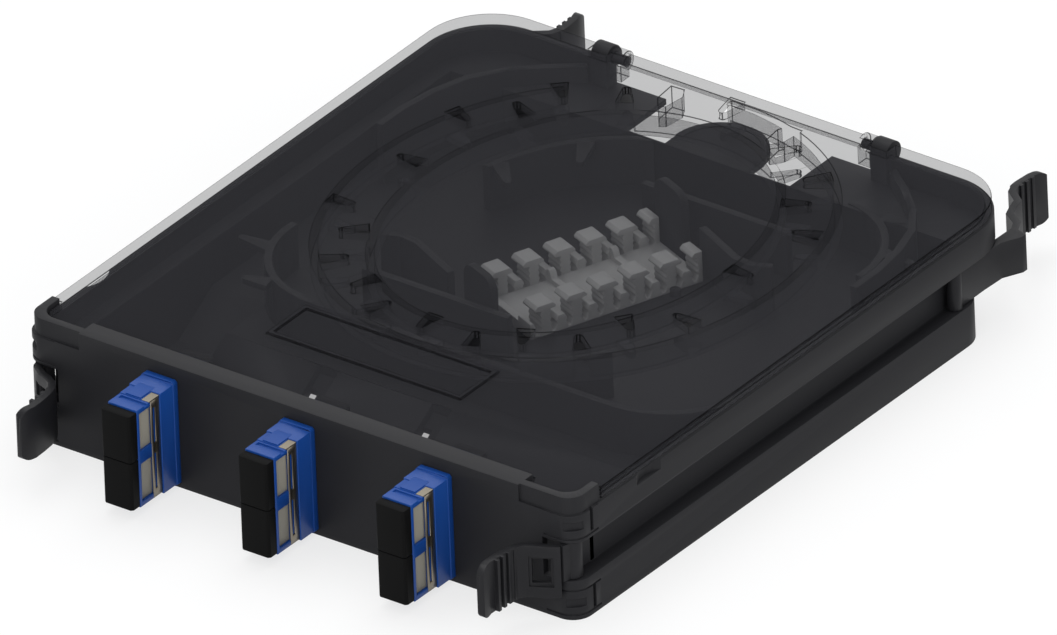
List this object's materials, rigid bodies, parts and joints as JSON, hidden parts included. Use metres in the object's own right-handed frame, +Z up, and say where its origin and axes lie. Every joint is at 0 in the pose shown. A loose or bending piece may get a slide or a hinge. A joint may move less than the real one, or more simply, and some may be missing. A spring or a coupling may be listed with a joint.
{
  "type": "fibre cassette",
  "caption": "Shallow moulded fibre cassette: hinged smoke cover with oval spool rings, blue port adapters in the front wall, splice holder inside, spring latches at the corners.",
  "frame": {"origin": "middle of the whole object, latches included, on the plane of the skirt's bottom edge", "axes": "+Z up through the cover, +Y to the rear where the cover hinges and the cable enters, +X right"},
  "size_m": [0.1604, 0.217, 0.032],
  "materials": {
    "case_black": "fine moulded texture",
    "smoke_polycarbonate": "clear smoke tint, polished",
    "splice_grey": "moulded satin",
    "latch_black": "moulded satin",
    "cap_black": "moulded satin",
    "adapter_blue": "moulded semi gloss",
    "port_beige": "moulded satin",
    "clip_steel": "spring steel strip",
    "sleeve_ceramic": "white ceramic"
  },
  "bodies": {
    "case": {"base_housing": "case_black", "splice_holder": "splice_grey", "adapter_left_body": "adapter_blue", "adapter_left_insert": "port_beige", "adapter_left_clip": "clip_steel", "adapter_left_sleeves": "sleeve_ceramic", "adapter_centre_body": "adapter_blue", "adapter_centre_insert": "port_beige", "adapter_centre_clip": "clip_steel", "adapter_centre_sleeves": "sleeve_ceramic", "adapter_right_body": "adapter_blue", "adapter_right_insert": "port_beige", "adapter_right_clip": "clip_steel", "adapter_right_sleeves": "sleeve_ceramic"},
    "cover": {"smoke_cover": "smoke_polycarbonate"},
    "latch_front_left": {"latch_front_left": "latch_black"},
    "latch_front_right": {"latch_front_right": "latch_black"},
    "latch_rear_left": {"latch_rear_left": "latch_black"},
    "latch_rear_right": {"latch_rear_right": "latch_black"},
    "cap_left_upper": {"cap_left_upper": "cap_black"},
    "cap_left_lower": {"cap_left_lower": "cap_black"},
    "cap_centre_upper": {"cap_centre_upper": "cap_black"},
    "cap_centre_lower": {"cap_centre_lower": "cap_black"},
    "cap_right_upper": {"cap_right_upper": "cap_black"},
    "cap_right_lower": {"cap_right_lower": "cap_black"},
    "inner_cap_left_upper": {"inner_cap_left_upper": "cap_black"},
    "inner_cap_left_lower": {"inner_cap_left_lower": "cap_black"},
    "inner_cap_centre_upper": {"inner_cap_centre_upper": "cap_black"},
    "inner_cap_centre_lower": {"inner_cap_centre_lower": "cap_black"},
    "inner_cap_right_upper": {"inner_cap_right_upper": "cap_black"},
    "inner_cap_right_lower": {"inner_cap_right_lower": "cap_black"}
  },
  "joints": [
    {"name": "cover_hinge", "type": "hinge", "parent": "case", "child": "cover", "pos_m": [0, 0.08319, 0.0289], "axis": [-1, 0, 0], "range_deg": [0, 105]},
    {"name": "latch_front_left_pivot", "type": "hinge", "parent": "case", "child": "latch_front_left", "pos_m": [-0.0752, -0.08532, 0.01285], "axis": [0, 0, 1], "range_deg": [0, 8], "stiffness_Nm_per_rad": 0.05},
    {"name": "latch_front_right_pivot", "type": "hinge", "parent": "case", "child": "latch_front_right", "pos_m": [0.0752, -0.08532, 0.01285], "axis": [0, 0, -1], "range_deg": [0, 8], "stiffness_Nm_per_rad": 0.05},
    {"name": "latch_rear_left_pivot", "type": "hinge", "parent": "case", "child": "latch_rear_left", "pos_m": [-0.0765, 0.05928, 0.01285], "axis": [0, 0, -1], "range_deg": [0, 4], "stiffness_Nm_per_rad": 0.05},
    {"name": "latch_rear_right_pivot", "type": "hinge", "parent": "case", "child": "latch_rear_right", "pos_m": [0.0765, 0.05928, 0.01285], "axis": [0, 0, 1], "range_deg": [0, 4], "stiffness_Nm_per_rad": 0.05},
    {"name": "cap_left_upper_pull", "type": "slide", "parent": "case", "child": "cap_left_upper", "axis": [0, -1, 0], "range_m": [0, 0.012]},
    {"name": "cap_left_lower_pull", "type": "slide", "parent": "case", "child": "cap_left_lower", "axis": [0, -1, 0], "range_m": [0, 0.012]},
    {"name": "cap_centre_upper_pull", "type": "slide", "parent": "case", "child": "cap_centre_upper", "axis": [0, -1, 0], "range_m": [0, 0.012]},
    {"name": "cap_centre_lower_pull", "type": "slide", "parent": "case", "child": "cap_centre_lower", "axis": [0, -1, 0], "range_m": [0, 0.012]},
    {"name": "cap_right_upper_pull", "type": "slide", "parent": "case", "child": "cap_right_upper", "axis": [0, -1, 0], "range_m": [0, 0.012]},
    {"name": "cap_right_lower_pull", "type": "slide", "parent": "case", "child": "cap_right_lower", "axis": [0, -1, 0], "range_m": [0, 0.012]},
    {"name": "inner_cap_left_upper_pull", "type": "slide", "parent": "case", "child": "inner_cap_left_upper", "axis": [0, 1, 0], "range_m": [0, 0.012]},
    {"name": "inner_cap_left_lower_pull", "type": "slide", "parent": "case", "child": "inner_cap_left_lower", "axis": [0, 1, 0], "range_m": [0, 0.012]},
    {"name": "inner_cap_centre_upper_pull", "type": "slide", "parent": "case", "child": "inner_cap_centre_upper", "axis": [0, 1, 0], "range_m": [0, 0.012]},
    {"name": "inner_cap_centre_lower_pull", "type": "slide", "parent": "case", "child": "inner_cap_centre_lower", "axis": [0, 1, 0], "range_m": [0, 0.012]},
    {"name": "inner_cap_right_upper_pull", "type": "slide", "parent": "case", "child": "inner_cap_right_upper", "axis": [0, 1, 0], "range_m": [0, 0.012]},
    {"name": "inner_cap_right_lower_pull", "type": "slide", "parent": "case", "child": "inner_cap_right_lower", "axis": [0, 1, 0], "range_m": [0, 0.012]}
  ]
}
